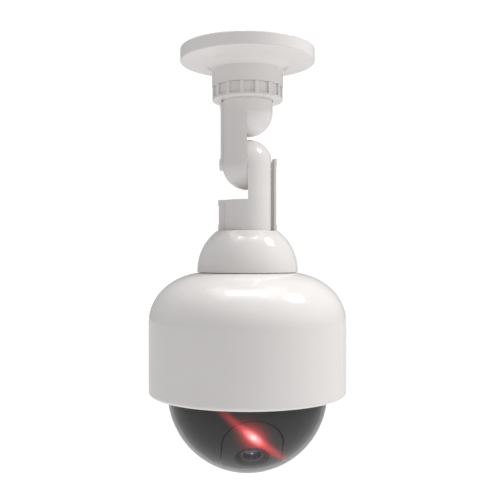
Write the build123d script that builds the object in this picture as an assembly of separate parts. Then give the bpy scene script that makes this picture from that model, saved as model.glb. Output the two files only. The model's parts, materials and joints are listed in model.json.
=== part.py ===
from build123d import *
import math
import os

# Ceiling-hung pan and tilt dome camera, in millimetres.
# The origin is on the ceiling face, on the centre line. +Z is up, so the camera hangs below zero,
# and -Y is the front, where the lens looks.

# Ceiling plate, which the flange twists onto
PLATE_R = 32.0
PLATE_T = 2.4
TAB_R = 33.9
TAB_TOP_Z = -2.3
TAB_Z = -3.6
CABLE_ENTRY_R = 8.0
CEILING_HOLE_R = 2.25
CEILING_HOLE_PCD = 50.0
CEILING_HOLE_COUNT = 3
BAYONET_COUNT = 3
BAYONET_ARC = 36.0
LUG_TOP_Z = -0.5
LUG_Z = -2.1

# Mounting flange with its collar and swivel socket
FLANGE_R = 37.5
FLANGE_RIM_Z = -7.6
FLANGE_RIM_FILLET = 0.9
FLANGE_RECESS_R = 34.5
FLANGE_WEB_Z = -5.4
SLOPE_END_R = 24.5
SLOPE_END_Z = -9.0
SLOPE_ROOT_R = 6.2
COLLAR_R = 19.8
COLLAR_TOP_Z = -12.3
COLLAR_Z = -21.3
CORE_R = 17.6
CORE_INNER_R = 14.0
CORE_Z = -19.0
RIB_COUNT = 6
RIB_T = 1.4
SPIGOT_R = 17.2
SPIGOT_Z = -26.6
SWIVEL_SEAT_Z = -22.6
SWIVEL_BORE_R = 15.45
PASSAGE_R = 12.0

# Lock nut on the flange's spigot, and the thrust ring that it pushes
NUT_R = 19.6
NUT_TOP_Z = -21.4
NUT_THREAD_R = 17.3
NUT_LIP_Z = -27.4
NUT_Z = -29.2
NUT_HOLE_R = 14.35
NUT_CHAMFER = 0.3
GRIP_COUNT = 15
GRIP_FIRST = -86.7
GRIP_W = 6.0
GRIP_DEPTH = 1.4
GRIP_Z = -27.7
THRUST_T = 1.0
THRUST_GAP = 0.1

# Elbow arms, which lap side by side across the plane x = 0
ARM_R = 14.0
ELBOW_Z = -64.7
LAP_GAP = 0.6
STUB_Z = -35.0
SHOULDER_Z = -84.7
FOOT_TOP_Z = -120.0
FOOT_R = 22.0
SWIVEL_DISC_R = 15.4
SWIVEL_TOP_Z = -22.8
SWIVEL_Z = -26.2

# Cable way down the arms and round the elbow
CABLE_BORE_R = 5.0
CABLE_SLOT_X = -9.5
CABLE_SLOT_W = 6.0
CABLE_SLOT_Z = -58.5
CROSSING_R = 2.6
WRAP_HUB_R = 6.3
WRAP_R = 11.6
WRAP_X = 7.3
WRAP_EXIT_W = 5.6
CROSSING_Z = ELBOW_Z + (WRAP_HUB_R + WRAP_R) / 2

# Elbow pivot along X, from a capped screw head on the left to a nut on the right
SHAFT_FIT = 0.05
PIVOT_R = 2.0
PIVOT_HEAD_R = 3.1
PIVOT_HEAD_H = 2.2
PIVOT_SEAT_X = -10.6
PIVOT_END_X = 13.6
PIVOT_CAP_R = 3.3
PIVOT_CAP_ROOT_X = -12.9
PIVOT_CAP_FACE_X = -15.7
PIVOT_CAP_FILLET = 0.5
FRICTION_WASHER_R = 13.8
FRICTION_GAP = 0.1
PIVOT_WASHER_R = 4.3
PIVOT_WASHER_X = 9.1
PIVOT_WASHER_END_X = 9.9
PIVOT_NUT_FLATS = 7.0
PIVOT_NUT_T = 3.2
NUT_POCKET_X = 9.0
NUT_POCKET_R = 4.7

# Cover strips let into the outer sides of the arms
STRIP_FIT = 0.05
STRIP_CHAMFER = 0.3
STRIP_END_H = 3.2
STRIP_END_RISE = 0.35
UPPER_STRIP_W = 9.2
UPPER_STRIP_ROOT_X = 12.6
UPPER_STRIP_FACE_X = 14.9
UPPER_STRIP_TOP_Z = -30.4
LOWER_STRIP_W = 11.4
LOWER_STEM_W = 7.0
LOWER_STEM_X = 12.2
LOWER_PLATE_X = 14.7
LOWER_STRIP_FACE_X = 16.0
LOWER_STRIP_TOP_Z = -61.9
SIDE_STRIP_W = 12.6
SIDE_STRIP_ROOT_X = 11.6
SIDE_STRIP_FACE_X = 15.85

# Neck cap over the arm's foot
CAP_R = 28.02
CAP_CENTRE_Z = -123.76
CAP_TOP_Z = -101.7
CAP_TOP_T = 2.4
CAP_WALL = 2.2
CAP_FILLET = 0.8
CAP_HOLE_R = 14.15
CAP_LIP_R = 20.5
GASKET_T = 1.0
NECK_SCREW_R = 1.5
NECK_SCREW_AT = 18.0
NECK_SCREW_COUNT = 3

# Housing, dome and the ring that clamps it
BASE_Z = -124.6
HOUSING_R = 55.0
SHOULDER_R = 22.5
SHOULDER_DROP = 27.5
HOUSING_WALL = 2.4
HOUSING_Z = -192.3
HOUSING_LIP_FILLET = 2.2
DOME_Z = -191.1
DOME_R = 44.6
DOME_WALL = 1.5
DOME_FLANGE_R = 47.4
DOME_FLANGE_TOP_Z = -188.7
DOME_FLANGE_Z = -190.3
DOME_SEAT_Z = -187.5
LEDGE_T = 2.0
RING_OUTER_R = 52.3
RING_INNER_R = 45.0
RING_SCREW_R = 1.0
RING_SCREW_HEAD_R = 1.9
RING_SCREW_AT = 50.2
RING_SCREW_FIRST = 22.5
RING_BOSS_R = 2.45

# Chassis and circuit board inside the housing
THREAD_FIT = 0.05
SCREW_CLEARANCE = 0.2
PRESS_FIT = 0.02
CHASSIS_R = 44.5
CHASSIS_TOP_Z = -147.5
CHASSIS_Z = -149.5
LEAD_HOLE_R = 4.0
BOSS_AT = 40.0
BOSS_R = 3.0
BOSS_BORE_TOP_Z = -139.5
CHASSIS_SCREW_R = 1.3
STANDOFF_AT = 28.0
STANDOFF_R = 2.6
BOARD_SCREW_R = 1.2
BOARD_R = 34.0
BOARD_TOP_Z = -132.0
BOARD_Z = -133.6
BOARD_HOLE_R = 6.0
CONNECTOR_H = 5.5
CAPACITOR_R = 3.2
CAPACITOR_H = 7.5

# Ball bearing that carries the panning yoke
BEARING_TOP_Z = -146.5
BEARING_Z = -150.5
BEARING_R = 14.5
BEARING_HUB_R = 17.0
BEARING_LIP_R = 13.2
BEARING_LIP_T = 0.8
BALL_AT = 11.3
BALL_R = 1.5
BALL_FIT = 0.1
BALL_COUNT = 10
RACE_GAP = 1.0

# Pan and tilt drives, with module 1 gears
GEAR_MODULE = 1.0
PAN_TEETH = 48
TILT_TEETH = 24
PINION_TEETH = 12
PAN_DRIVE_X = -(PAN_TEETH + PINION_TEETH) * GEAR_MODULE / 2
TILT_DRIVE_Z = DOME_Z + (TILT_TEETH + PINION_TEETH) * GEAR_MODULE / 2
PAN_GEAR_TOP_Z = -152.5
PAN_GEAR_Z = -156.0
PINION_OVERHANG = 0.2
PAN_MOTOR_R = 10.0
PAN_MOTOR_TOP_Z = -135.5
PAN_SHAFT_R = 1.5
PAN_SHAFT_TOP_Z = -139.5
MOTOR_EAR_W = 6.0
MOTOR_EAR_T = 1.0
MOTOR_EAR_END = 15.5
MOTOR_SCREW_AT = 13.0
MOTOR_SCREW_R = 1.0
TILT_MOTOR_R = 7.5
TILT_MOTOR_END_X = 40.0
TILT_MOTOR_NOSE_R = 2.5
TILT_SHAFT_END_X = 36.5
TILT_DRIVE_R = 0.75
TILT_SCREW_AT = 5.5

# Panning yoke
YOKE_TOP_Z = -157.0
YOKE_Z = -159.5
YOKE_R = 38.0
YOKE_HUB_R = 8.0
YOKE_HUB_TOP_Z = -144.5
CLIP_TOP_Z = -145.5
CLIP_Z = -146.3
CLIP_R = 10.2
CLIP_GROOVE_R = 7.2
CLIP_GAP_W = 7.0
EAR_X = 22.0
EAR_T = 2.5
EAR_HALF_W = 8.0
BRACKET_X = 29.0
BRACKET_T = 2.0
BRACKET_HALF_W = 9.0
BRACKET_DROP = 8.0
BUSH_R = 4.5
BUSH_FLANGE_R = 6.0
BUSH_FLANGE_T = 0.9
LINER_POST_AT = 39.2
LINER_POST_R = 2.6
LINER_PAD_R = 3.4
LINER_SCREW_R = 0.9
PAN_REST = 4.6

# Liner and camera module, on spheres about the dome's centre
LINER_R = 42.6
LINER_INNER_R = 41.4
LINER_TOP_Z = -184.0
LINER_SLOT_END = -146.0
SLOT_HALF_W = 16.2
FACE_HALF_W = 15.4
FACE_R = 42.3
FACE_INNER_R = 40.95
FACE_END = -96.4
SHELL_R = 40.9
SHELL_WALL = 1.5
SHELL_HALF_W = 20.0
SHELL_TOP = 40.0
SHELL_END = -148.0
HUB_R = 6.5
HUB_INNER_X = 16.0
HUB_OUTER_X = 20.9
ARCH_TOP = -10.5
ARCH_CUT = -15.0
LENS_ELEVATION = -45.3
LED_ELEVATION = -23.8
TILT_SHAFT_R = 3.0
TILT_GEAR_X = 25.2
TILT_GEAR_END_X = 28.2
PEG_R = 1.2
PEG_X = 11.0
PEG_ELEVATIONS = (-28.0, -78.0)
LENS_HOLE_R = 9.2
LENS_SEAT = 36.4
LENS_MOUTH = 40.3
BEZEL_R = 9.15
LED_R = 1.5
LED_FLANGE_R = 1.85
LED_BASE = 36.6
LED_CENTRE = 41.0
BARREL_R = 6.0
HOLDER_R = 7.5
HOLDER_HALF_W = 8.0
SENSOR_AT = 20.0
SENSOR_BOARD_T = 1.2
SENSOR_POST_X = 13.5
SENSOR_POST_R = 2.2
SENSOR_SCREW_R = 0.9

UP = (Align.CENTER, Align.CENTER, Align.MIN)
FAR = 120.0


# Basic solids

def disc(radius, z_low, z_high):
    """Upright cylinder on the centre line."""
    return Pos(0, 0, z_low) * Cylinder(radius, z_high - z_low, align=UP)


def ring(outer, inner, z_low, z_high):
    """Upright tube on the centre line."""
    return disc(outer, z_low, z_high) - disc(inner, z_low - 1, z_high + 1)


def drill(radius):
    """Upright cylinder through everything."""
    return Cylinder(radius, 4 * FAR)


def rod(radius, x_low, x_high, z):
    """Cylinder parallel to X at height z."""
    return Pos(x_low, 0, z) * Rot(0, 90, 0) * Cylinder(radius, x_high - x_low, align=UP)


def block(x_range, y_range, z_range):
    """Box between three pairs of limits."""
    spans = [high - low for low, high in (x_range, y_range, z_range)]
    middle = [(high + low) / 2 for low, high in (x_range, y_range, z_range)]
    return Pos(*middle) * Box(*spans)


def spread(half):
    """Range of twice a half width, centred on zero."""
    return (-half, half)


def around(count, radius, first=0.0):
    """Places evenly spread on a circle, each with +X pointing outward."""
    return [Rot(0, 0, first + i * 360 / count) * Pos(radius, 0, 0) for i in range(count)]


def on_side(side, solid):
    """The solid as drawn on +X, or its mirror image on -X."""
    return solid if side > 0 else mirror(solid, Plane.YZ)


def turned(edges):
    """Solid of revolution about the centre line, from a closed outline in X and Z."""
    return revolve(Plane.XZ * make_face(edges), Axis.Z)


def outline(points):
    """Closed run of straight lines."""
    return Polyline(*points, close=True).edges()


def fan(start, end, steps):
    """Corners of a triangular fan that covers an angle about the origin, far beyond the model."""
    angles = [math.radians(start + i * (end - start) / steps) for i in range(steps + 1)]
    return [(0, 0)] + [(FAR * math.cos(a), FAR * math.sin(a)) for a in angles]


def round_end(solid, axis, radius):
    """Fillets the circular edge that is furthest along an axis."""
    return fillet(solid.edges().filter_by(GeomType.CIRCLE).sort_by(axis)[-1], radius)


def screw(shank_r, length, head_r, head_h):
    """Pan-head screw with a hexagon socket. The shank points down from z = 0."""
    head = round_end(Cylinder(head_r, head_h, align=UP), Axis.Z, head_h * 0.4)
    shank = Pos(0, 0, -length) * Cylinder(shank_r, length, align=UP)
    socket = extrude(RegularPolygon(head_r * 0.5, 6), head_h)
    return head + shank - Pos(0, 0, head_h * 0.45) * socket


def flat_screw(shank_r, length, head_r):
    """Countersunk screw with a hexagon socket. Its head's face is at z = 0."""
    head_h = head_r - shank_r
    head = Pos(0, 0, -head_h) * Cone(shank_r, head_r, head_h, align=UP)
    shank = Pos(0, 0, -length) * Cylinder(shank_r, length, align=UP)
    socket = extrude(RegularPolygon(head_r * 0.45, 6), head_h)
    return head + shank - Pos(0, 0, -head_h * 0.65) * socket


def group(solids):
    """Separate solids kept together in one node."""
    return Compound([s for part in solids for s in part.solids()])


def spur_gear(teeth, width, bore):
    """Involute gear about Z from z = 0, with one tooth centred on +X."""
    pressure = math.radians(20)
    pitch_r = teeth * GEAR_MODULE / 2
    base_r = pitch_r * math.cos(pressure)
    root_r = pitch_r - 1.25 * GEAR_MODULE
    tip_r = pitch_r + 0.85 * GEAR_MODULE
    backlash = 0.12 * GEAR_MODULE
    half_tooth = (math.pi * GEAR_MODULE / 2 - backlash) / 2 / pitch_r

    def half_angle(radius):
        turn = math.acos(min(1.0, base_r / radius))
        return half_tooth + math.tan(pressure) - pressure - (math.tan(turn) - turn)

    start_r = max(base_r, root_r + 0.01)
    flank = [start_r + (tip_r - start_r) * i / 3 for i in range(4)]
    rising = [(root_r, -half_angle(start_r))] + [(r, -half_angle(r)) for r in flank]
    tooth = rising + [(r, -angle) for r, angle in reversed(rising)]
    points = []
    for i in range(teeth):
        centre = 2 * math.pi * i / teeth
        points += [(r * math.cos(centre + a), r * math.sin(centre + a)) for r, a in tooth]
    return extrude(make_face(outline(points)), width) - Cylinder(bore, 4 * width)


# Spherical places of the camera module. Elevation is measured up from the front horizon.

def radial(elevation):
    """Place at the dome's centre with +Z looking out along an elevation, +Y towards the top."""
    return Pos(0, 0, DOME_Z) * Rot(90 - elevation, 0, 0)


def ball(radius):
    return Pos(0, 0, DOME_Z) * Sphere(radius)


def bowl(radius, top_z):
    """Lower half of a ball, carried straight up to a height."""
    return ball(radius) - disc(FAR, DOME_Z, DOME_Z + FAR) + disc(radius, DOME_Z, top_z)


def side_sector(upper, lower):
    """Slice about the tilt axis, from one elevation round through the bottom to another."""
    corners = fan(180 - upper, 180 - lower, 6)
    return Pos(0, 0, DOME_Z) * extrude(Plane.YZ * make_face(outline(corners)), FAR, both=True)


def slot_cutter(half_width, lower_end):
    """Arch-topped tool that cuts the camera slot, or bounds the plate that fills it."""
    crown = -FACE_R * math.sin(math.radians(ARCH_CUT - ARCH_TOP)) - SLOT_HALF_W
    arch = radial(ARCH_CUT) * Pos(0, crown, 0) * Cylinder(half_width, FAR, align=UP)
    legs = radial(ARCH_CUT) * block(spread(half_width), (-FAR, crown), spread(FAR))
    round_end_at = lower_end + math.degrees(math.asin(half_width / FACE_R))
    end = radial(round_end_at) * Cylinder(half_width, FAR, align=UP)
    return arch + (legs & side_sector(0, round_end_at)) + end


# Fixed mount on the ceiling

def bayonet_sectors(outer, inner, z_low, z_high):
    """Short arcs of a ring, evenly spread."""
    blank = ring(outer, inner, z_low, z_high)
    sectors = []
    for i in range(BAYONET_COUNT):
        middle = i * 360 / BAYONET_COUNT
        corners = fan(middle - BAYONET_ARC / 2, middle + BAYONET_ARC / 2, 2)
        wedge = extrude(make_face(outline(corners)), z_high - z_low)
        sectors.append(blank & (Pos(0, 0, z_low) * wedge))
    return sectors


def ceiling_plate():
    plate = disc(PLATE_R, -PLATE_T, 0)
    for tab in bayonet_sectors(TAB_R, PLATE_R - 4, TAB_Z, TAB_TOP_Z):
        plate += tab
    plate -= drill(CABLE_ENTRY_R)
    for place in around(CEILING_HOLE_COUNT, CEILING_HOLE_PCD / 2, 90):
        plate -= place * drill(CEILING_HOLE_R)
    return plate


def flange_profile():
    """Rim, sloped underside, concave root and collar, with the swivel's seat inside."""
    slope_end = (SLOPE_END_R, SLOPE_END_Z)
    collar_top = (COLLAR_R, COLLAR_TOP_Z)
    outside = Polyline((FLANGE_RECESS_R, 0), (FLANGE_R, 0), (FLANGE_R, FLANGE_RIM_Z), slope_end)
    root = RadiusArc(slope_end, collar_top, -SLOPE_ROOT_R)
    inside = Polyline(
        collar_top,
        (COLLAR_R, COLLAR_Z),
        (SPIGOT_R, COLLAR_Z),
        (SPIGOT_R, SPIGOT_Z),
        (SWIVEL_BORE_R, SPIGOT_Z),
        (SWIVEL_BORE_R, SWIVEL_SEAT_Z),
        (PASSAGE_R, SWIVEL_SEAT_Z),
        (PASSAGE_R, FLANGE_WEB_Z),
        (FLANGE_RECESS_R, FLANGE_WEB_Z),
        (FLANGE_RECESS_R, 0),
    )
    return outside.edges() + root.edges() + inside.edges()


def mounting_flange():
    """Flange with a ribbed hollow round the socket, and lugs that hang on the plate's tabs."""
    flange = turned(flange_profile())
    flange -= ring(CORE_R, CORE_INNER_R, CORE_Z, FLANGE_WEB_Z + 1)
    rib_x = (CORE_R - CORE_INNER_R) / 2 + 0.4
    for place in around(RIB_COUNT, (CORE_R + CORE_INNER_R) / 2, 30):
        flange += place * block(spread(rib_x), spread(RIB_T / 2), (CORE_Z - 0.5, FLANGE_WEB_Z - 0.4))
    for lug in bayonet_sectors(FLANGE_RECESS_R + 0.3, PLATE_R + 0.3, LUG_Z, LUG_TOP_Z):
        flange += lug
    rims = flange.edges().filter_by(GeomType.CIRCLE)
    return fillet(rims.filter_by(lambda e: abs(e.radius - FLANGE_R) < 0.01), FLANGE_RIM_FILLET)


def thrust_ring():
    top = SWIVEL_Z - THRUST_GAP
    return ring(SWIVEL_DISC_R, NUT_HOLE_R, top - THRUST_T, top)


def lock_nut():
    nut = disc(NUT_R, NUT_Z, NUT_TOP_Z)
    nut = chamfer(nut.edges().filter_by(GeomType.CIRCLE).sort_by(Axis.Z)[0], NUT_CHAMFER)
    nut -= disc(NUT_THREAD_R, NUT_LIP_Z, NUT_TOP_Z + 1)
    nut -= disc(NUT_HOLE_R, NUT_Z - 1, NUT_LIP_Z + 1)
    for place in around(GRIP_COUNT, NUT_R, GRIP_FIRST):
        nut -= place * block(spread(GRIP_DEPTH), spread(GRIP_W / 2), (GRIP_Z, NUT_TOP_Z + 1))
    return nut


# Upper arm and elbow

def arm_column(z_low, z_high, ball_z):
    """Round column with a ball of the same radius at one end."""
    return disc(ARM_R, z_low, z_high) + Pos(0, 0, ball_z) * Sphere(ARM_R)


def strip_slot(side, root_x, width, z_range):
    """Flat-bottomed recess in an arm's side for a strip."""
    half = width / 2 + STRIP_FIT
    return on_side(side, block((root_x - STRIP_FIT, ARM_R + 2), spread(half), z_range))


def strip_plate(width, root_x, face_x, z_range):
    """Strip on +X with chamfered long edges, a little thicker at both ends."""
    low, high = z_range
    strip = block((root_x, face_x), spread(width / 2), z_range)
    for end in ((low, low + STRIP_END_H), (high - STRIP_END_H, high)):
        strip += block((root_x, face_x + STRIP_END_RISE), spread(width / 2), end)
    long_edges = strip.edges().filter_by(Axis.Z)
    return chamfer(long_edges.filter_by(lambda e: e.center().X > face_x - 0.1), STRIP_CHAMFER)


def upper_arm():
    """Column on the left of the lap, with a rounded stub on its right, under the swivel's disc."""
    lap_side = block((-FAR, -LAP_GAP / 2), spread(FAR), spread(FAR))
    stub_side = block((-1, FAR), spread(FAR), spread(FAR))
    arm = arm_column(ELBOW_Z, SWIVEL_Z, ELBOW_Z) & lap_side
    arm += arm_column(STUB_Z, SWIVEL_Z, STUB_Z) & stub_side
    arm += disc(SWIVEL_DISC_R, SWIVEL_Z, SWIVEL_TOP_Z)
    arm -= disc(CABLE_BORE_R, STUB_Z - 2, 1)
    arm -= block((CABLE_SLOT_X, -1), spread(CABLE_SLOT_W / 2), (CABLE_SLOT_Z, STUB_Z + 3))
    arm -= rod(CROSSING_R, -6, 1, CROSSING_Z)
    arm -= rod(PIVOT_R + SHAFT_FIT, -ARM_R, 1, ELBOW_Z)
    arm -= rod(PIVOT_CAP_R + SHAFT_FIT, -ARM_R - 1, PIVOT_SEAT_X, ELBOW_Z)
    return arm - strip_slot(-1, UPPER_STRIP_ROOT_X, UPPER_STRIP_W, (ELBOW_Z, NUT_Z - 1))


def upper_arm_cover():
    """Strip with a half-round notch over the pivot's cap."""
    z_range = (ELBOW_Z + STRIP_FIT, UPPER_STRIP_TOP_Z)
    strip = strip_plate(UPPER_STRIP_W, UPPER_STRIP_ROOT_X, UPPER_STRIP_FACE_X, z_range)
    return on_side(-1, strip - rod(PIVOT_CAP_R + SHAFT_FIT, 0, FAR, ELBOW_Z))


def pivot_cap():
    cap = rod(PIVOT_CAP_R, -PIVOT_CAP_ROOT_X, -PIVOT_CAP_FACE_X, ELBOW_Z)
    return on_side(-1, round_end(cap, Axis.X, PIVOT_CAP_FILLET))


def pivot_screw():
    reach = PIVOT_END_X - PIVOT_SEAT_X
    bolt = screw(PIVOT_R, reach, PIVOT_HEAD_R, PIVOT_HEAD_H)
    return Pos(PIVOT_SEAT_X, 0, ELBOW_Z) * Rot(0, -90, 0) * bolt


def friction_washer():
    """Nylon disc between the lapped arms, with holes for the pivot and the cable."""
    washer = rod(FRICTION_WASHER_R, -LAP_GAP / 2, LAP_GAP / 2 - FRICTION_GAP, ELBOW_Z)
    washer -= rod(PIVOT_R + SHAFT_FIT, -1, 1, ELBOW_Z)
    return washer - rod(CROSSING_R, -1, 1, CROSSING_Z)


def pivot_washer():
    washer = rod(PIVOT_WASHER_R, PIVOT_WASHER_X, PIVOT_WASHER_END_X, ELBOW_Z)
    return washer - rod(PIVOT_R + 2 * SHAFT_FIT, 0, ARM_R, ELBOW_Z)


def pivot_nut():
    blank = extrude(RegularPolygon(PIVOT_NUT_FLATS / 2, 6, major_radius=False), PIVOT_NUT_T)
    nut = Pos(PIVOT_WASHER_END_X, 0, ELBOW_Z) * Rot(0, 90, 0) * blank
    return nut - rod(PIVOT_R + PRESS_FIT, 0, ARM_R, ELBOW_Z)


# Lower arm and neck

def neck_screw_places():
    return around(NECK_SCREW_COUNT, NECK_SCREW_AT, 90)


def side_strip_range():
    return (CAP_TOP_Z + STRIP_FIT, SHOULDER_Z)


def lower_strip_range():
    return (CAP_TOP_Z + STRIP_FIT, LOWER_STRIP_TOP_Z)


def lower_arm():
    """Tongue on the right of the lap, full column below it, and a round foot under the neck cap."""
    tongue_side = block((LAP_GAP / 2, FAR), spread(FAR), (-2 * FAR, FAR))
    arm = arm_column(FOOT_TOP_Z, ELBOW_Z, ELBOW_Z) & tongue_side
    arm += disc(ARM_R, FOOT_TOP_Z, SHOULDER_Z)
    arm += disc(FOOT_R, BASE_Z + GASKET_T, FOOT_TOP_Z)
    arm -= disc(CABLE_BORE_R, BASE_Z - 1, SHOULDER_Z - 4)
    arm -= rod(WRAP_R, 0, WRAP_X, ELBOW_Z) - rod(WRAP_HUB_R, -1, ARM_R, ELBOW_Z)
    wrap_exit_z = (SHOULDER_Z - 8, ELBOW_Z - WRAP_HUB_R - 1)
    arm -= block((0, WRAP_X), spread(WRAP_EXIT_W / 2), wrap_exit_z)
    arm -= rod(PIVOT_R + SHAFT_FIT, -1, ARM_R, ELBOW_Z)
    arm -= rod(NUT_POCKET_R, NUT_POCKET_X, ARM_R + 1, ELBOW_Z)
    arm -= strip_slot(1, LOWER_STEM_X, LOWER_STEM_W, (CAP_TOP_Z, LOWER_STRIP_TOP_Z + STRIP_FIT))
    arm -= strip_slot(-1, SIDE_STRIP_ROOT_X, SIDE_STRIP_W, (CAP_TOP_Z, SHOULDER_Z + 1))
    for place in neck_screw_places():
        arm -= place * disc(NECK_SCREW_R + THREAD_FIT, BASE_Z - 1, BASE_Z + 3.8)
    return arm


def lower_arm_cover():
    """Strip on a narrower stem, hollowed over the end of the pivot."""
    z_range = lower_strip_range()
    strip = strip_plate(LOWER_STRIP_W, LOWER_PLATE_X, LOWER_STRIP_FACE_X, z_range)
    strip += block((LOWER_STEM_X, LOWER_PLATE_X + 0.2), spread(LOWER_STEM_W / 2), z_range)
    return strip - rod(NUT_POCKET_R, 0, PIVOT_END_X + 0.3, ELBOW_Z)


def lower_arm_side_cover():
    strip = strip_plate(SIDE_STRIP_W, SIDE_STRIP_ROOT_X, SIDE_STRIP_FACE_X, side_strip_range())
    return on_side(-1, strip)


def cap_ball(radius, top_z):
    """Ball of the neck cap, cut flat at the top."""
    return (Pos(0, 0, CAP_CENTRE_Z) * Sphere(radius)) & disc(FAR, BASE_Z - CAP_R, top_z)


def neck_cap():
    """Domed shell with a collar hole for the arm and an inner lip held down by the arm's foot."""
    hull = round_end(cap_ball(CAP_R, CAP_TOP_Z) & disc(FAR, BASE_Z, CAP_TOP_Z + 1), Axis.Z, CAP_FILLET)
    cap = hull - cap_ball(CAP_R - CAP_WALL, CAP_TOP_Z - CAP_TOP_T)
    cap += ring(CAP_R - CAP_WALL, CAP_LIP_R, FOOT_TOP_Z + 0.2, FOOT_TOP_Z + 2.2)
    return cap - disc(CAP_HOLE_R, BASE_Z - 5, CAP_TOP_Z + 5)


def neck_gasket():
    gasket = ring(FOOT_R - 0.6, CABLE_ENTRY_R, BASE_Z, BASE_Z + GASKET_T)
    for place in neck_screw_places():
        gasket -= place * drill(NECK_SCREW_R + SCREW_CLEARANCE)
    return gasket


def neck_screws():
    face_down = Pos(0, 0, BASE_Z - HOUSING_WALL) * Rot(180, 0, 0)
    return group([p * face_down * screw(NECK_SCREW_R, 6.0, 2.8, 2.0) for p in neck_screw_places()])


# Housing and dome

def ring_screw_places():
    return around(4, RING_SCREW_AT, RING_SCREW_FIRST)


def boss_places():
    return around(4, BOSS_AT, 45)


def housing_body(inset, bottom_z):
    """Shouldered bell, offset inward by a wall's thickness."""
    side_r = HOUSING_R - inset
    curve_z = BASE_Z - SHOULDER_DROP
    rise = SHOULDER_DROP - inset
    curve = EllipticalCenterArc(
        (SHOULDER_R, curve_z), side_r - SHOULDER_R, rise, start_angle=0, arc_size=90
    )
    rest = Polyline(
        (SHOULDER_R, curve_z + rise),
        (0, curve_z + rise),
        (0, bottom_z),
        (side_r, bottom_z),
        (side_r, curve_z),
    )
    return turned(curve.edges() + rest.edges())


def housing():
    """Bell with a ledge for the dome, screw bosses for ring and chassis, and a drilled top."""
    outer = housing_body(0, HOUSING_Z)
    shell = outer - housing_body(HOUSING_WALL, HOUSING_Z - 1)
    lip = shell.edges().filter_by(GeomType.CIRCLE).sort_by(Axis.Z)[:2].sort_by(SortBy.RADIUS)[-1]
    shell = fillet(lip, HOUSING_LIP_FILLET)
    shell += ring(HOUSING_R - 2, RING_INNER_R, DOME_SEAT_Z, DOME_SEAT_Z + LEDGE_T)
    for place in ring_screw_places():
        shell += place * disc(RING_BOSS_R, DOME_FLANGE_Z, DOME_SEAT_Z + 1)
        shell -= place * disc(RING_SCREW_R + THREAD_FIT, DOME_FLANGE_Z - 1, DOME_SEAT_Z + 4)
    for place in boss_places():
        shell += (place * disc(BOSS_R, CHASSIS_TOP_Z, BASE_Z)) & outer
        shell -= place * disc(CHASSIS_SCREW_R + THREAD_FIT, CHASSIS_TOP_Z - 1, BOSS_BORE_TOP_Z)
    shell -= disc(CABLE_ENTRY_R, BASE_Z - 5, BASE_Z + 1)
    for place in neck_screw_places():
        shell -= place * disc(NECK_SCREW_R + SCREW_CLEARANCE, BASE_Z - 4, BASE_Z + 4)
    return shell


def dome_cover():
    cup = bowl(DOME_R, DOME_FLANGE_TOP_Z)
    cup += disc(DOME_FLANGE_R, DOME_FLANGE_Z, DOME_FLANGE_TOP_Z)
    return cup - bowl(DOME_R - DOME_WALL, DOME_FLANGE_TOP_Z + 1)


def dome_gasket():
    return ring(DOME_FLANGE_R - 0.1, RING_INNER_R + 0.1, DOME_FLANGE_TOP_Z, DOME_SEAT_Z)


def dome_ring():
    """Clamp ring with four countersunk holes."""
    hole_r = RING_SCREW_R + SCREW_CLEARANCE / 2
    sink_h = RING_SCREW_HEAD_R + SCREW_CLEARANCE / 2 - hole_r
    clamp = ring(RING_OUTER_R, RING_INNER_R, HOUSING_Z, DOME_FLANGE_Z)
    for place in ring_screw_places():
        clamp -= place * Pos(0, 0, HOUSING_Z) * Cone(hole_r + sink_h, hole_r, sink_h, align=UP)
        clamp -= place * disc(hole_r, HOUSING_Z - 1, HOUSING_Z + 3)
    return clamp


def dome_ring_screws():
    face_down = Pos(0, 0, HOUSING_Z) * Rot(180, 0, 0)
    small = flat_screw(RING_SCREW_R, 5.5, RING_SCREW_HEAD_R)
    return group([p * face_down * small for p in ring_screw_places()])


# Chassis, board and pan drive

def standoff_places():
    return around(4, STANDOFF_AT, 45)


def pan_motor_screw_places():
    return [Pos(PAN_DRIVE_X, y, 0) for y in (-MOTOR_SCREW_AT, MOTOR_SCREW_AT)]


def chassis_plate():
    """Round plate with the bearing's hub, and holes for screws, pan shaft and leads."""
    plate = disc(CHASSIS_R, CHASSIS_Z, CHASSIS_TOP_Z)
    plate += disc(BEARING_HUB_R, BEARING_Z, BEARING_TOP_Z + BEARING_LIP_T)
    plate -= disc(BEARING_R + PRESS_FIT, BEARING_Z - 1, BEARING_TOP_Z)
    plate -= drill(BEARING_LIP_R)
    plate -= Pos(PAN_DRIVE_X, 0, 0) * drill(2 * PAN_SHAFT_R + 0.5)
    plate -= Pos(STANDOFF_AT, 0, 0) * drill(LEAD_HOLE_R)
    for place in boss_places():
        plate -= place * drill(CHASSIS_SCREW_R + SCREW_CLEARANCE)
    for place in standoff_places():
        plate -= place * drill(BOARD_SCREW_R + SCREW_CLEARANCE)
    for place in pan_motor_screw_places():
        plate -= place * drill(MOTOR_SCREW_R + THREAD_FIT)
    return plate


def chassis_screws():
    face_down = Pos(0, 0, CHASSIS_Z) * Rot(180, 0, 0)
    return group([p * face_down * screw(CHASSIS_SCREW_R, 9.5, 2.8, 1.8) for p in boss_places()])


def main_board():
    board = ring(BOARD_R, BOARD_HOLE_R, BOARD_Z, BOARD_TOP_Z)
    for place in standoff_places():
        board -= place * drill(BOARD_SCREW_R + SCREW_CLEARANCE)
    return board


def board_chips():
    """Processor, memory, regulators and two capacitors on and under the board."""
    top = BOARD_TOP_Z
    chips = [
        block((-6.5, 6.5), (10, 23), (top, top + 1.2)),
        block((10, 19), (-5, 5), (top, top + 1.0)),
        block((-19, -13), (-4, 4), (top, top + 1.0)),
        block((-12, -8), (-18, -13), (top, top + 0.9)),
    ]
    can = disc(CAPACITOR_R, BOARD_Z - CAPACITOR_H, BOARD_Z)
    return group(chips + [Pos(x, -22, 0) * can for x in (-4.5, 4.5)])


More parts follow.
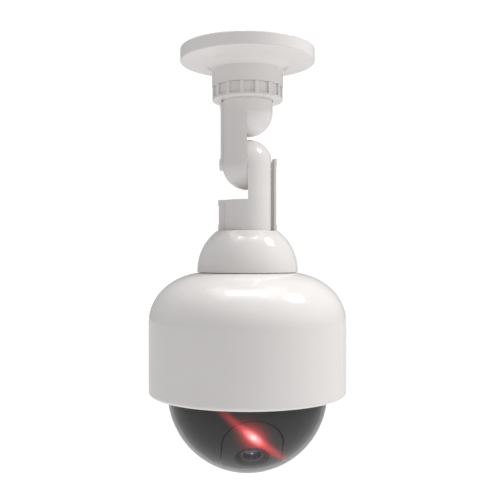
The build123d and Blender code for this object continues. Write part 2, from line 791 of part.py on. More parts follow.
def board_connector():
    low = BOARD_Z - CONNECTOR_H
    shell = block((20, 30), (-6, 6), (low, BOARD_Z))
    return shell - block((21, 29), (-5, 5), (low - 1, BOARD_Z - 1.2))


def board_standoffs():
    post = ring(STANDOFF_R, BOARD_SCREW_R + THREAD_FIT, CHASSIS_TOP_Z, BOARD_Z)
    return group([p * post for p in standoff_places()])


def board_screws():
    top = Pos(0, 0, BOARD_TOP_Z)
    return group([p * top * screw(BOARD_SCREW_R, 7.0, 2.2, 1.3) for p in standoff_places()])


def pan_motor():
    """Can with two ears, bored up from below for its shaft."""
    can = round_end(disc(PAN_MOTOR_R, CHASSIS_TOP_Z, PAN_MOTOR_TOP_Z), Axis.Z, 0.8)
    ear_z = (CHASSIS_TOP_Z, CHASSIS_TOP_Z + MOTOR_EAR_T)
    body = can + block(spread(MOTOR_EAR_W / 2), spread(MOTOR_EAR_END), ear_z)
    body -= disc(PAN_SHAFT_R + SHAFT_FIT, CHASSIS_TOP_Z - 1, PAN_SHAFT_TOP_Z + 0.5)
    motor = Pos(PAN_DRIVE_X, 0, 0) * body
    for place in pan_motor_screw_places():
        motor -= place * drill(MOTOR_SCREW_R + SCREW_CLEARANCE / 2)
    return motor


def pan_motor_screws():
    top = Pos(0, 0, CHASSIS_TOP_Z + MOTOR_EAR_T)
    return group([p * top * screw(MOTOR_SCREW_R, 2.9, 1.9, 1.2) for p in pan_motor_screw_places()])


def bearing_middle():
    return Pos(0, 0, (BEARING_TOP_Z + BEARING_Z) / 2)


def bearing_race(outer, inner):
    groove = bearing_middle() * Torus(BALL_AT, BALL_R + BALL_FIT)
    return ring(outer, inner, BEARING_Z, BEARING_TOP_Z) - groove


def pan_bearing_outer():
    return bearing_race(BEARING_R, BALL_AT + RACE_GAP)


def pan_bearing_inner():
    return bearing_race(BALL_AT - RACE_GAP, YOKE_HUB_R + PRESS_FIT)


def pan_bearing_balls():
    return group([p * bearing_middle() * Sphere(BALL_R) for p in around(BALL_COUNT, BALL_AT)])


def pinion(width, bore):
    """Pinion with a gap between teeth on +X, so that it meshes with a tooth."""
    return Rot(0, 0, 180 / PINION_TEETH) * spur_gear(PINION_TEETH, width, bore)


def pan_pinion():
    width = PAN_GEAR_TOP_Z - PAN_GEAR_Z + 2 * PINION_OVERHANG
    gear = pinion(width, PAN_SHAFT_R + PRESS_FIT)
    return Pos(PAN_DRIVE_X, 0, PAN_GEAR_Z - PINION_OVERHANG) * gear


def pan_motor_shaft():
    shaft = disc(PAN_SHAFT_R, PAN_GEAR_Z - PINION_OVERHANG, PAN_SHAFT_TOP_Z)
    return Pos(PAN_DRIVE_X, 0, 0) * shaft


def pan_gear():
    width = PAN_GEAR_TOP_Z - PAN_GEAR_Z
    return Pos(0, 0, PAN_GEAR_Z) * spur_gear(PAN_TEETH, width, YOKE_HUB_R + PRESS_FIT)


# Panning yoke, all drawn facing straight ahead

def liner_post_places():
    return around(4, LINER_POST_AT, 45)


def tilt_screw_places():
    return [Pos(0, y, 0) for y in (-TILT_SCREW_AT, TILT_SCREW_AT)]


def pan_yoke():
    """Plate with a hub up through the bearing, two ears for the tilt axle and a motor bracket."""
    yoke = disc(YOKE_R, YOKE_Z, YOKE_TOP_Z)
    yoke += disc(YOKE_HUB_R, YOKE_Z, YOKE_HUB_TOP_Z)
    for place in liner_post_places():
        yoke += place * disc(LINER_PAD_R, YOKE_Z, YOKE_TOP_Z)
        yoke -= place * drill(LINER_SCREW_R + SCREW_CLEARANCE)
    for x_low in (EAR_X, -EAR_X - EAR_T):
        ear_x = (x_low, x_low + EAR_T)
        yoke += block(ear_x, spread(EAR_HALF_W), (DOME_Z, YOKE_TOP_Z))
        yoke += rod(EAR_HALF_W, *ear_x, DOME_Z)
        yoke -= rod(BUSH_R + PRESS_FIT, x_low - 1, x_low + EAR_T + 1, DOME_Z)
    bracket_x = (BRACKET_X, BRACKET_X + BRACKET_T)
    yoke += block(bracket_x, spread(BRACKET_HALF_W), (TILT_DRIVE_Z - BRACKET_DROP, YOKE_TOP_Z))
    yoke -= rod(TILT_MOTOR_NOSE_R + 0.1, BRACKET_X - 1, BRACKET_X + 4, TILT_DRIVE_Z)
    for place in tilt_screw_places():
        yoke -= place * rod(MOTOR_SCREW_R + THREAD_FIT, BRACKET_X - 1, BRACKET_X + 4, TILT_DRIVE_Z)
    yoke -= drill(CABLE_BORE_R)
    return yoke - ring(YOKE_HUB_R + 1, CLIP_GROOVE_R, CLIP_Z, CLIP_TOP_Z)


def pan_clip():
    """C-shaped clip in the hub's groove."""
    clip = ring(CLIP_R, CLIP_GROOVE_R + 0.1, CLIP_Z, CLIP_TOP_Z)
    return clip - block((0, FAR), spread(CLIP_GAP_W / 2), (CLIP_Z - 1, CLIP_TOP_Z + 1))


def liner():
    """Dark bowl behind the dome, slotted for the camera, with four posts up to the yoke."""
    skin = bowl(LINER_R, LINER_TOP_Z) - bowl(LINER_INNER_R, 0)
    skin -= slot_cutter(SLOT_HALF_W, LINER_SLOT_END)
    post_z = (LINER_TOP_Z - 5, YOKE_Z)
    for place in liner_post_places():
        skin += (place * disc(LINER_POST_R, *post_z)) & disc(LINER_R, *post_z)
        skin -= place * disc(LINER_SCREW_R + THREAD_FIT, YOKE_Z - 10, YOKE_Z + 1)
    return skin


def liner_screws():
    top = Pos(0, 0, YOKE_TOP_Z)
    return group([p * top * screw(LINER_SCREW_R, 9.0, 2.0, 1.3) for p in liner_post_places()])


def tilt_motor():
    """Can on the bracket, with a nose through it and a bore for its shaft."""
    face = BRACKET_X + BRACKET_T
    can = round_end(rod(TILT_MOTOR_R, face, TILT_MOTOR_END_X, TILT_DRIVE_Z), Axis.X, 0.7)
    can += rod(TILT_MOTOR_NOSE_R, BRACKET_X + 0.2, face + 0.5, TILT_DRIVE_Z)
    can -= rod(TILT_DRIVE_R + SHAFT_FIT, BRACKET_X - 1, TILT_SHAFT_END_X + 0.5, TILT_DRIVE_Z)
    for place in tilt_screw_places():
        can -= place * rod(MOTOR_SCREW_R + PRESS_FIT, face - 1, face + 3.2, TILT_DRIVE_Z)
    return can


def tilt_motor_screws():
    seat = Pos(BRACKET_X, 0, TILT_DRIVE_Z) * Rot(0, -90, 0)
    return group([p * seat * screw(MOTOR_SCREW_R, 4.8, 1.7, 0.6) for p in tilt_screw_places()])


def tilt_bushings():
    sleeve = rod(BUSH_R, EAR_X, EAR_X + EAR_T, DOME_Z)
    sleeve += rod(BUSH_FLANGE_R, EAR_X - BUSH_FLANGE_T, EAR_X, DOME_Z)
    sleeve -= rod(TILT_SHAFT_R + SHAFT_FIT, 0, FAR, DOME_Z)
    return group([on_side(1, sleeve), on_side(-1, sleeve)])


def tilt_pinion():
    gear = pinion(TILT_GEAR_END_X - TILT_GEAR_X, TILT_DRIVE_R + PRESS_FIT)
    return Pos(TILT_GEAR_X, 0, TILT_DRIVE_Z) * Rot(0, 90, 0) * gear


def tilt_motor_shaft():
    return rod(TILT_DRIVE_R, TILT_GEAR_X, TILT_SHAFT_END_X, TILT_DRIVE_Z)


# Tilting camera module

def lens_place():
    return radial(LENS_ELEVATION)


def led_place():
    return radial(LED_ELEVATION)


def sensor_post_places():
    return [lens_place() * Pos(x, 0, 0) for x in (-SENSOR_POST_X, SENSOR_POST_X)]


def face_pegs():
    """Places of the four pegs that hold the face plate on the shell."""
    return [radial(e) * Pos(x, 0, 0) for e in PEG_ELEVATIONS for x in (-PEG_X, PEG_X)]


def slab(half_width):
    """Everything within a distance of the mid plane x = 0."""
    return block(spread(half_width), spread(FAR), (-3 * FAR, FAR))


def camera_shell():
    """Spherical drum sector with side walls, trunnion hubs and posts for the sensor board."""
    core = ball(SHELL_R - SHELL_WALL) & slab(SHELL_HALF_W - SHELL_WALL)
    shell = ((ball(SHELL_R) & slab(SHELL_HALF_W)) - core) & side_sector(SHELL_TOP, SHELL_END)
    for side in (-1, 1):
        shell += on_side(side, rod(HUB_R, HUB_INNER_X, HUB_OUTER_X, DOME_Z))
    shell -= rod(TILT_SHAFT_R + PRESS_FIT, -FAR, FAR, DOME_Z)
    shell -= lens_place() * disc(LENS_HOLE_R + 0.1, 30, 50)
    shell -= led_place() * disc(LED_FLANGE_R + 0.25, 30, 50)
    for place in sensor_post_places():
        post = place * disc(SENSOR_POST_R, SENSOR_AT + SENSOR_BOARD_T + 0.1, SHELL_R)
        shell += post & ball(SHELL_R - 0.5)
        shell -= place * disc(SENSOR_SCREW_R + THREAD_FIT, SENSOR_AT, SENSOR_AT + 9)
    for place in face_pegs():
        shell -= place * disc(PEG_R + 0.1, 36, 46)
    return shell


def camera_face():
    """Arch-topped plate on the shell, with pegs behind it and holes for lens and lamp."""
    face = (ball(FACE_R) - ball(FACE_INNER_R)) & slot_cutter(FACE_HALF_W, FACE_END)
    for place in face_pegs():
        face += place * disc(PEG_R, 37.2, 40.2)
    face -= lens_place() * disc(LENS_HOLE_R, 30, 50)
    return face - led_place() * disc(LED_R + SCREW_CLEARANCE, 30, 50)


def lens_bezel():
    """Funnel-shaped ring around the lens barrel."""
    points = [(6.6, 37.0), (BEZEL_R, 37.0), (BEZEL_R, 40.8), (8.6, 40.8), (7.4, 38.7), (6.6, 38.7)]
    return lens_place() * turned(outline(points))


def lens_barrel():
    """M12 lens barrel with a stepped mouth."""
    points = [
        (BARREL_R, 24.0), (BARREL_R, 35.0), (6.25, 35.0), (6.25, LENS_MOUTH - 0.5), (5.75, LENS_MOUTH),
        (5.2, LENS_MOUTH), (4.95, LENS_MOUTH - 0.8), (4.95, LENS_SEAT), (4.2, LENS_SEAT), (4.2, 29.0),
        (4.6, 29.0), (4.6, 24.0),
    ]
    return lens_place() * turned(outline(points))


def bow(radius, edge, bulge):
    """Point at half radius on the circle through a bulged disc's edge and centre."""
    curve = (radius ** 2 + bulge ** 2) / (2 * bulge)
    centre = edge + bulge - curve
    return (radius / 2, centre + math.copysign(math.sqrt(curve ** 2 - radius ** 2 / 4), bulge))


def lens_disc(radius, edge_low, edge_high, bulge_low, bulge_high):
    """Glass element: a disc with shallow domes on both faces."""
    low_tip = (0, edge_low - bulge_low)
    high_tip = (0, edge_high + bulge_high)
    right = Line((radius, edge_low), (radius, edge_high))
    top = ThreePointArc((radius, edge_high), bow(radius, edge_high, bulge_high), high_tip)
    axis = Line(high_tip, low_tip)
    low = ThreePointArc(low_tip, bow(radius, edge_low, -bulge_low), (radius, edge_low))
    return turned(right.edges() + top.edges() + axis.edges() + low.edges())


def front_lens():
    return lens_place() * lens_disc(4.9, LENS_SEAT + 0.3, LENS_SEAT + 1.4, 0.4, 1.6)


def rear_lens():
    return lens_place() * lens_disc(4.5, 25.4, 28.2, 0.6, 0.5)


def lens_holder():
    """Threaded holder on a square foot that stands on the sensor board."""
    foot_z = SENSOR_AT + SENSOR_BOARD_T
    half = HOLDER_HALF_W
    holder = disc(HOLDER_R, 23.5, 32.0) + block(spread(half), spread(half), (foot_z, 23.6))
    holder -= disc(BARREL_R + THREAD_FIT, 23.4, 40)
    hollow = half - 1.8
    return lens_place() * (holder - block(spread(hollow), spread(hollow), (20, 23.5)))


def sensor_board():
    board = block((-16.5, 16.5), (-11, 11), (SENSOR_AT, SENSOR_AT + SENSOR_BOARD_T))
    board = lens_place() * board
    for place in sensor_post_places():
        board -= place * disc(SENSOR_SCREW_R + SCREW_CLEARANCE, 15, 25)
    return board


def image_sensor():
    foot = SENSOR_AT + SENSOR_BOARD_T
    return lens_place() * block((-4.2, 4.2), (-3.6, 3.6), (foot, foot + 1.2))


def sensor_screws():
    behind = Pos(0, 0, SENSOR_AT) * Rot(180, 0, 0)
    return group([p * behind * screw(SENSOR_SCREW_R, 7.0, 1.7, 1.1) for p in sensor_post_places()])


def led():
    """Round indicator lamp: flanged foot, barrel and domed tip cut a little flat."""
    body = disc(LED_FLANGE_R, LED_BASE, LED_BASE + 0.8) + disc(LED_R, LED_BASE, LED_CENTRE)
    body += Pos(0, 0, LED_CENTRE) * Sphere(LED_R)
    return led_place() * (body - disc(FAR, LED_CENTRE + 1.4, FAR))


def led_board():
    board = block((-5, 5), (-3.2, 3.2), (LED_BASE - 1.2, LED_BASE - 0.2))
    spacer = ring(2.4, 1.4, LED_BASE - 0.2, LED_BASE)
    return led_place() * (board + spacer)


def tilt_shafts():
    """Axle stubs pressed into the shell's hubs; the right one also carries the gear."""
    right = rod(TILT_SHAFT_R, HUB_INNER_X + 0.2, TILT_GEAR_END_X + 0.4, DOME_Z)
    left = rod(TILT_SHAFT_R, HUB_INNER_X + 0.2, EAR_X + EAR_T + 0.8, DOME_Z)
    return group([right, on_side(-1, left)])


def tilt_gear():
    gear = spur_gear(TILT_TEETH, TILT_GEAR_END_X - TILT_GEAR_X, TILT_SHAFT_R + PRESS_FIT)
    return Pos(TILT_GEAR_X, 0, DOME_Z) * Rot(0, 90, 0) * gear


FIXED_NODES = [
    ceiling_plate, mounting_flange, thrust_ring, lock_nut,
    upper_arm, upper_arm_cover, pivot_cap, pivot_screw, friction_washer, pivot_washer, pivot_nut,
    lower_arm, lower_arm_cover, lower_arm_side_cover, neck_cap, neck_gasket, neck_screws,
    housing, dome_cover, dome_gasket, dome_ring, dome_ring_screws,
    chassis_plate, chassis_screws, main_board, board_chips, board_connector,
    board_standoffs, board_screws, pan_motor, pan_motor_screws,
    pan_bearing_outer, pan_bearing_balls, pan_pinion, pan_motor_shaft, pan_gear,
]
PANNED_NODES = [
    pan_yoke, pan_bearing_inner, pan_clip, liner, liner_screws,
    tilt_motor, tilt_motor_screws, tilt_bushings, tilt_pinion, tilt_motor_shaft,
    camera_shell, camera_face, lens_bezel, lens_barrel, front_lens, rear_lens, lens_holder,
    sensor_board, image_sensor, sensor_screws, led, led_board, tilt_shafts, tilt_gear,
]


def main():
    os.makedirs("parts", exist_ok=True)
    for makers, place in ((FIXED_NODES, Rot(0, 0, 0)), (PANNED_NODES, Rot(0, 0, PAN_REST))):
        for maker in makers:
            export_step(place * maker(), f"parts/{maker.__name__}.step")


main()
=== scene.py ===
"""Looks of the ceiling-hung dome camera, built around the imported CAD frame, in metres."""
import json
import math

import bmesh
import bpy
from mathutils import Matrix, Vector


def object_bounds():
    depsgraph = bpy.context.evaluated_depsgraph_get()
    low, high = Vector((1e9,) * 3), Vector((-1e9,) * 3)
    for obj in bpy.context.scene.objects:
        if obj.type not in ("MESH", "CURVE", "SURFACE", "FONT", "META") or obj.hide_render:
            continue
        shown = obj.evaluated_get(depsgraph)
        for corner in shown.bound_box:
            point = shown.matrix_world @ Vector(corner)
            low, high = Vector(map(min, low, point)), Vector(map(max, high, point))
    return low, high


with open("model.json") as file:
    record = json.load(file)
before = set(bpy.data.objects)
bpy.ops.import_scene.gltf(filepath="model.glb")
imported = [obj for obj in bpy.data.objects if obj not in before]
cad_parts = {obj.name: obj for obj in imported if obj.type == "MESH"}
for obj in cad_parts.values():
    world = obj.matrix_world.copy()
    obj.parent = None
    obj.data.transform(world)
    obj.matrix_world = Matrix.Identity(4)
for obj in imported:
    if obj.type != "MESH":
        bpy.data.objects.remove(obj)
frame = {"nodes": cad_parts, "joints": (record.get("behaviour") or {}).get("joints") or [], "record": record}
CAD_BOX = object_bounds()
RECORD = frame["record"]
MM = 0.001
SLOT_OF = {part["node"]: part["material_slot"] for part in RECORD["subparts"]}
JOINTS = {joint["name"]: joint for joint in frame["joints"]}

# The dome's centre and the way the camera module faces at rest
DOME_CENTRE = Vector(JOINTS["tilt"]["pos_m"])
TILT_AXIS = Vector(JOINTS["tilt"]["axis"]).normalized()
LENS_ELEVATION = math.radians(-45.3)
LED_ELEVATION = math.radians(-23.8)
LED_REACH = 42.3            # mm from the dome's centre to the lamp's tip


def facing(elevation):
    """Unit vector out of the dome's centre, at an elevation over the camera module's own front."""
    front = Vector((0, 0, 1)).cross(TILT_AXIS).normalized() * -1
    return front * math.cos(elevation) + Vector((0, 0, 1)) * math.sin(elevation)


LENS_AXIS = facing(LENS_ELEVATION)
LED_AXIS = facing(LED_ELEVATION)
LED_TIP = DOME_CENTRE + LED_AXIS * LED_REACH * MM

# The lamp's glare, painted on as glow: the way it faces, the slope of its long way, its bow, and its two
# colours
GLARE_ELEVATION = math.radians(13.6)
GLARE_FACING = facing(GLARE_ELEVATION)
GLARE_TURN = math.radians(-35.3)
GLARE_BOW = 3.2
PAINTED_GLOW_RED = (1.0, 0.05, 0.06)
PAINTED_GLOW_PALE = (1.0, 0.95, 0.95)
# Strength of the painted glow on the liner, face and bezel; the lit lamp's own glow is a share more
PAINTED_GLOW_STRENGTH = 1.5
LED_GLOW = PAINTED_GLOW_STRENGTH * 1.25
BEZEL_PAINTED_GLOW = PAINTED_GLOW_STRENGTH * 0.8

# The painted glare's soft ovals: reach along, reach across and shift along it, in mm, and brightness
STREAK = (20, 1.9, 3, 0.72)
HALO = (6.5, 4.6, 0, 0.8)
CORE = (4.2, 1.7, 0, 0.75)

# The painted highlight in the front glass, a fixed pinpoint of glow: mm out along the lens's axis, mm across
PAINTED_GLINT_REACH = 38.9
PAINTED_GLINT_ACROSS = -0.4
PAINTED_GLINT = (DOME_CENTRE + LENS_AXIS * PAINTED_GLINT_REACH * MM
         + TILT_AXIS.cross(LENS_AXIS) * PAINTED_GLINT_ACROSS * MM)
PAINTED_GLINT_R = 0.7 * MM
PAINTED_GLINT_STRENGTH = 6.0

# Clear parts
SMOKE_DENSITY = 340.0
DOME_IOR = 1.3
GLASS_IOR = 1.6

# Surroundings: brightness on the object, and as the camera sees them
SURROUND_GREY = 0.40
SURROUND_SEEN = 1.02
FLOOR_GLOW = 0.28
FLOOR_GLOW_SEEN = 0.78
FLOOR_DROP = 0.55           # metres under the CAD box, so that views from below are clear
FLOOR_HALF = 12


# Node helpers

class Surface:
    """One node material with a Principled shader, and short calls to wire nodes into it."""

    def __init__(self, name, colour, roughness, **settings):
        self.material = bpy.data.materials.new(name)
        self.material.use_nodes = True
        self.tree = self.material.node_tree
        self.shader = self.tree.nodes["Principled BSDF"]
        self.shader.inputs["Base Color"].default_value = (*colour, 1)
        self.shader.inputs["Roughness"].default_value = roughness
        for key, value in settings.items():
            self.shader.inputs[key.replace("_", " ")].default_value = value
        self.place = self.tree.nodes.new("ShaderNodeTexCoord").outputs["Object"]

    def node(self, kind, **inputs):
        made = self.tree.nodes.new(kind)
        for key, value in inputs.items():
            self.feed(made.inputs[key.replace("_", " ")], value)
        return made

    def feed(self, socket, value):
        if isinstance(value, bpy.types.NodeSocket):
            self.tree.links.new(value, socket)
        else:
            socket.default_value = value

    def noise(self, scale, detail=3.0, stretch=None):
        """Noise of about 1/scale metres, evenly spread about a half."""
        made = self.node("ShaderNodeTexNoise", Scale=scale, Detail=detail, Roughness=0.55)
        self.feed(made.inputs["Vector"], self.stretched(stretch) if stretch else self.place)
        return made.outputs["Fac"]

    def stretched(self, scales):
        made = self.node("ShaderNodeMapping")
        self.feed(made.inputs["Vector"], self.place)
        made.inputs["Scale"].default_value = scales
        return made.outputs["Vector"]

    def spread(self, value, low, high, start=0.3, end=0.7):
        """Maps a factor between start and end onto low to high."""
        made = self.node("ShaderNodeMapRange", Value=value)
        limits = {"From Min": start, "From Max": end, "To Min": low, "To Max": high}
        for key, number in limits.items():
            self.feed(made.inputs[key], number)
        return made.outputs["Result"]

    def sum(self, operation, first, second):
        made = self.tree.nodes.new("ShaderNodeMath")
        made.operation = operation
        self.feed(made.inputs[0], first)
        self.feed(made.inputs[1], second)
        return made.outputs[0]

    def vector(self, operation, first, second):
        """Vector operation on two values; SCALE takes a number second, DOT_PRODUCT gives one."""
        made = self.tree.nodes.new("ShaderNodeVectorMath")
        made.operation = operation
        self.feed(made.inputs[0], first)
        self.feed(made.inputs["Scale" if operation == "SCALE" else 1], second)
        return made.outputs["Value" if operation == "DOT_PRODUCT" else "Vector"]

    def blend(self, factor, first, second):
        """Mixes two colours."""
        made = self.tree.nodes.new("ShaderNodeMix")
        made.data_type = "RGBA"
        self.feed(made.inputs["Factor"], factor)
        self.feed(made.inputs["A"], (*first, 1))
        self.feed(made.inputs["B"], (*second, 1))
        return made.outputs["Result"]

    def colour(self, value):
        self.feed(self.shader.inputs["Base Color"], value)

    def rough(self, value):
        self.feed(self.shader.inputs["Roughness"], value)

    def bump(self, height, depth):
        made = self.node("ShaderNodeBump", Height=height, Strength=1.0, Distance=depth)
        self.feed(self.shader.inputs["Normal"], made.outputs["Normal"])


def moulded(name, low, high, roughness, grain, depth):
    """Plastic with a faint mottle, a roughness that wanders and a moulded skin."""
    surface = Surface(name, high, roughness)
    surface.colour(surface.blend(surface.spread(surface.noise(38, 4), 0, 1), low, high))
    surface.rough(surface.spread(surface.noise(90, 5), roughness * 0.85, roughness * 1.2))
    surface.bump(surface.noise(grain, 4), depth)
    return surface


def white_shell():
    """Glossy white moulding with a faint mottle and a little orange peel."""
    surface = moulded("white_shell", (0.800, 0.776, 0.764), (0.828, 0.804, 0.791), 0.15, 420, 4e-6)
    surface.shader.inputs["Coat Weight"].default_value = 0.25
    surface.shader.inputs["Coat Roughness"].default_value = 0.08
    return surface.material


def matt_black(name, low, high, roughness=0.55):
    return moulded(name, low, high, roughness, 2600, 2.5e-5).material


def liner_plastic():
    surface = moulded("liner_plastic", (0.17, 0.171, 0.172), (0.20, 0.201, 0.202), 0.55, 1200, 4e-6)
    # Painted light: the lamp's red glare drawn on the liner as glow
    painted_glare_glow(surface, PAINTED_GLOW_STRENGTH)
    return surface.material


def bell(surface, shape):
    """Soft-edged oval of painted light near the lamp, its long way turned and a little bowed."""
    along, across, shift, share_of_light = shape
    offset = surface.vector("SUBTRACT", surface.place, LED_TIP)
    up = GLARE_FACING.cross(TILT_AXIS)
    cos, sin = math.cos(GLARE_TURN), math.sin(GLARE_TURN)
    far = surface.vector("DOT_PRODUCT", offset, TILT_AXIS * cos + up * sin)
    aside = surface.vector("DOT_PRODUCT", offset, up * cos - TILT_AXIS * sin)
    bow = surface.sum("MULTIPLY", surface.sum("MULTIPLY", far, far), GLARE_BOW)
    squares = []
    axes = ((far, shift * MM, along * MM), (aside, bow, across * MM))
    for distance, middle, reach in axes:
        share = surface.sum("DIVIDE", surface.sum("SUBTRACT", distance, middle), reach)
        squares.append(surface.sum("MULTIPLY", share, share))
    fall = surface.sum("POWER", math.exp(-1), surface.sum("ADD", *squares))
    return surface.sum("MULTIPLY", fall, share_of_light)


def painted_glare_glow(surface, strength):
    """Painted red light around the lit lamp, drawn out as glow along one diagonal of the plastic."""
    red_share = surface.sum("ADD", bell(surface, STREAK), bell(surface, HALO))
    red = surface.vector("SCALE", PAINTED_GLOW_RED, red_share)
    pale = surface.vector("SCALE", PAINTED_GLOW_PALE, bell(surface, CORE))
    surface.feed(surface.shader.inputs["Emission Color"], surface.vector("ADD", red, pale))
    surface.shader.inputs["Emission Strength"].default_value = strength


def face_plastic():
    surface = moulded("face_plastic", (0.19, 0.191, 0.192), (0.22, 0.221, 0.222), 0.55, 1200, 4e-6)
    # Painted light: the lamp's red glare drawn on the face as glow
    painted_glare_glow(surface, PAINTED_GLOW_STRENGTH)
    return surface.material


def barrel_metal():
    """Black anodised barrel with fine turning marks about the lens axis."""
    surface = Surface("barrel_metal", (0.03, 0.03, 0.032), 0.28, Metallic=0.6)
    turned = surface.noise(5200, 2)
    surface.rough(surface.spread(surface.noise(900, 3), 0.2, 0.36))
    tone = surface.spread(turned, 0, 1)
    surface.colour(surface.blend(tone, (0.22, 0.205, 0.21), (0.32, 0.30, 0.305)))
    surface.bump(turned, 6e-6)
    return surface.material


def dome_plastic():
    """Smoked clear cover, dark all through its wall, with the least haze and ripple."""
    surface = Surface("dome_plastic", (0.97, 0.97, 0.97), 0.015, IOR=DOME_IOR)
    smoke = surface.tree.nodes.new("ShaderNodeVolumeAbsorption")
    smoke.inputs["Color"].default_value = (0, 0, 0, 1)
    smoke.inputs["Density"].default_value = SMOKE_DENSITY
    output = surface.tree.nodes["Material Output"]
    surface.tree.links.new(smoke.outputs["Volume"], output.inputs["Volume"])
    surface.shader.inputs["Transmission Weight"].default_value = 1.0
    surface.rough(surface.spread(surface.noise(60, 3), 0.008, 0.03))
    surface.bump(surface.noise(90, 2), 2e-6)
    return surface.material


def lens_glass():
    """Coated glass with a patchy purple and green cast, and a painted highlight: a pinpoint of glow."""
    surface = Surface("lens_glass", (0.80, 0.86, 0.95), 0.01, IOR=GLASS_IOR)
    surface.shader.inputs["Transmission Weight"].default_value = 1.0
    surface.shader.inputs["Coat Weight"].default_value = 1.0
    surface.shader.inputs["Coat Tint"].default_value = (0.86, 0.80, 0.92, 1)
    from_painted_glint = surface.vector("SUBTRACT", surface.place, PAINTED_GLINT)
    far = surface.vector("DOT_PRODUCT", from_painted_glint, from_painted_glint)
    surface.feed(surface.shader.inputs["Emission Color"], (1.0, 0.93, 0.93, 1))
    surface.feed(surface.shader.inputs["Emission Strength"],
                 surface.spread(far, PAINTED_GLINT_STRENGTH, 0, 0, PAINTED_GLINT_R ** 2))
    tint = surface.spread(surface.noise(220, 2), 0, 1)
    surface.colour(surface.blend(tint, (0.62, 0.58, 0.68), (0.62, 0.66, 0.64)))
    return surface.material


def led_lamp():
    """Lit red lamp, at the brightest part of the painted glare."""
    surface = Surface("led_lamp", (0.85, 0.08, 0.05), 0.2)
    surface.rough(surface.spread(surface.noise(700, 3), 0.14, 0.3))
    painted_glare_glow(surface, LED_GLOW)
    return surface.material


def bezel_plastic():
    """Black moulding with the lamp's red glare painted on as glow where the glare crosses it."""
    surface = moulded("black_plastic", (0.02, 0.02, 0.02), (0.03, 0.03, 0.03), 0.5, 2600, 8e-6)
    painted_glare_glow(surface, BEZEL_PAINTED_GLOW)
    return surface.material


def brushed(name, low, high, roughness, stretch):
    """Metal with fine drawn lines; stretch is the grain's scale along x, y and z."""
    surface = Surface(name, high, roughness, Metallic=1.0)
    lines = surface.noise(1.0, 4, stretch)
    surface.colour(surface.blend(surface.spread(lines, 0, 1), low, high))
    surface.rough(surface.spread(lines, roughness * 0.75, roughness * 1.3))
    surface.bump(lines, 4e-6)
    return surface.material


def circuit_board():
    """Green solder mask over faint copper tracks and ground fills."""
    surface = Surface("board_green", (0.02, 0.16, 0.07), 0.32)
    grid = surface.node("ShaderNodeTexVoronoi", Scale=420.0)
    grid.feature = "DISTANCE_TO_EDGE"
    grid.distance = "EUCLIDEAN"
    surface.feed(grid.inputs["Vector"], surface.place)
    tracks = surface.spread(grid.outputs["Distance"], 1, 0, 0.02, 0.06)
    surface.colour(surface.blend(tracks, (0.012, 0.13, 0.055), (0.05, 0.27, 0.11)))
    surface.bump(tracks, 2.5e-5)
    return surface.material


def make_materials():
    """One material for each slot of the record, and the groove's near-black painted shade."""
    return {
        "white_shell": white_shell(),
        "inner_plastic": matt_black("inner_plastic", (0.022, 0.022, 0.023), (0.034, 0.034, 0.035)),
        "liner_plastic": liner_plastic(),
        "face_plastic": face_plastic(),
        "black_plastic": bezel_plastic(),
        "barrel_metal": barrel_metal(),
        "dome_plastic": dome_plastic(),
        "lens_glass": lens_glass(),
        "led_lamp": led_lamp(),
        "board_green": circuit_board(),
        "screw_steel": brushed(
            "screw_steel", (0.5, 0.5, 0.5), (0.68, 0.68, 0.67), 0.3, (900, 900, 900)),
        "spring_steel": brushed(
            "spring_steel", (0.55, 0.55, 0.56), (0.7, 0.7, 0.71), 0.16, (400, 400, 2600)),
        "motor_can": brushed(
            "motor_can", (0.42, 0.42, 0.43), (0.6, 0.6, 0.61), 0.34, (60, 60, 2400)),
        "sheet_aluminium": brushed(
            "sheet_aluminium", (0.6, 0.6, 0.61), (0.76, 0.76, 0.77), 0.32, (60, 2600, 2600)),
        "brass_posts": brushed(
            "brass_posts", (0.6, 0.44, 0.18), (0.76, 0.58, 0.28), 0.25, (200, 200, 2600)),
        "gear_plastic": moulded(
            "gear_plastic", (0.74, 0.72, 0.64), (0.82, 0.8, 0.73), 0.4, 1500, 1e-5).material,
        "bush_plastic": moulded(
            "bush_plastic", (0.8, 0.8, 0.77), (0.86, 0.86, 0.84), 0.45, 1500, 1e-5).material,
        "seal_rubber": moulded(
            "seal_rubber", (0.018, 0.018, 0.018), (0.03, 0.03, 0.03), 0.7, 1800, 3e-5).material,
        # Near-black painted shade for the shell seen in the groove
        "groove_painted_shade": matt_black(
            "groove_painted_shade", (0.003, 0.003, 0.003), (0.006, 0.006, 0.006), 0.7),
    }


MATERIALS = make_materials()

# The shell shows at rest only through the arch-topped groove, so it gets near-black painted shade.
# The ceiling plate is pale plastic, like the white flange around it.
OWN_LOOKS = {"camera_shell": "groove_painted_shade", "ceiling_plate": "bush_plastic"}


def dress_frame():
    """Gives every CAD node its slot's material, or its own."""
    for node, obj in frame["nodes"].items():
        material = MATERIALS[OWN_LOOKS.get(node, SLOT_OF[node])]
        for slot in obj.material_slots:
            slot.material = material
        if not obj.material_slots:
            obj.data.materials.append(material)


# Studio

def area_light(name, place, aim, size, size_y, radiance, colour=(1, 1, 1)):
    """Soft rectangular or round light of a given radiance, turned to a point."""
    data = bpy.data.lights.new(name, "AREA")
    data.shape = "RECTANGLE" if size_y else "DISK"
    data.size = size
    area = math.pi * size * size / 4
    if size_y:
        data.size_y = size_y
        area = size * size_y
    data.energy = radiance * area * math.pi
    data.color = colour
    lamp = bpy.data.objects.new(name, data)
    bpy.context.scene.collection.objects.link(lamp)
    lamp.location = place
    lamp.rotation_euler = (Vector(aim) - Vector(place)).to_track_quat("-Z", "Y").to_euler()
    return lamp


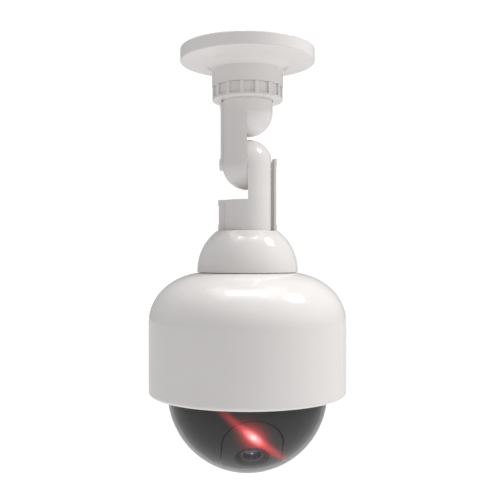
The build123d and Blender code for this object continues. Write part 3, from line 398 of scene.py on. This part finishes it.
def studio():
    """Pale floor and surroundings, two soft lights above, one at the right, a key high right."""
    middle = Vector((0, 0, -0.12))
    area_light("top_softbox", place=(0, -0.06, 0.95), aim=(0, -0.03, -0.15),
               size=0.62, size_y=0.26, radiance=6.5)
    area_light("top_diffuser", place=(0, 0, 1.0), aim=(0, 0, -0.15),
               size=1.1, size_y=0.8, radiance=1.5)
    side = area_light("side_softbox", place=(1.1, -0.35, 0.05), aim=middle,
                      size=0.9, size_y=0.9, radiance=0.91)
    side.visible_glossy = False
    key_height = math.radians(53)
    key_distance = 1.2
    key_way = Vector((math.cos(key_height), 0, math.sin(key_height)))
    area_light("key_right", place=middle + key_way * key_distance, aim=middle,
               size=0.34, size_y=0, radiance=24.0, colour=(1.0, 0.985, 0.98))

    world = bpy.data.worlds.new("studio")
    bpy.context.scene.world = world
    world.use_nodes = True
    nodes, links = world.node_tree.nodes, world.node_tree.links
    surround = nodes["Background"]
    surround.inputs["Color"].default_value = (SURROUND_GREY, SURROUND_GREY, SURROUND_GREY, 1)
    white = nodes.new("ShaderNodeBackground")
    white.inputs["Color"].default_value = (SURROUND_SEEN, SURROUND_SEEN, SURROUND_SEEN, 1)
    path = nodes.new("ShaderNodeLightPath")
    mix = nodes.new("ShaderNodeMixShader")
    links.new(path.outputs["Is Camera Ray"], mix.inputs["Fac"])
    links.new(surround.outputs[0], mix.inputs[1])
    links.new(white.outputs[0], mix.inputs[2])
    links.new(mix.outputs[0], nodes["World Output"].inputs["Surface"])

    mesh = bpy.data.meshes.new("floor")
    tool = bmesh.new()
    bmesh.ops.create_grid(tool, x_segments=8, y_segments=8, size=FLOOR_HALF)
    tool.to_mesh(mesh)
    tool.free()
    floor = bpy.data.objects.new("floor", mesh)
    floor.location.z = CAD_BOX[0][2] - FLOOR_DROP
    bpy.context.scene.collection.objects.link(floor)
    surface = Surface("floor_paint", (0.93, 0.93, 0.93), 0.9)
    tone = surface.spread(surface.noise(3, 4), 0, 1)
    surface.colour(surface.blend(tone, (0.925, 0.925, 0.925), (0.935, 0.935, 0.935)))
    seen = surface.tree.nodes.new("ShaderNodeLightPath").outputs["Is Camera Ray"]
    surface.shader.inputs["Emission Color"].default_value = (1, 1, 1, 1)
    surface.feed(surface.shader.inputs["Emission Strength"],
                 surface.spread(seen, FLOOR_GLOW, FLOOR_GLOW_SEEN, 0, 1))
    mesh.materials.append(surface.material)


def camera():
    """Level view from the front, at the height of the arm's foot."""
    data = bpy.data.cameras.new("camera")
    data.lens = 55.0
    data.sensor_width = 36.0
    data.shift_x = 0.005
    data.shift_y = 0.014
    data.clip_start = 0.01
    view = bpy.data.objects.new("camera", data)
    view.location = (0, -0.428, -0.1162)
    view.rotation_euler = (math.radians(90), 0, 0)
    bpy.context.scene.collection.objects.link(view)
    bpy.context.scene.camera = view


dress_frame()
studio()
camera()
bpy.context.scene.view_settings.view_transform = "Standard"
bpy.context.scene.view_settings.look = "None"
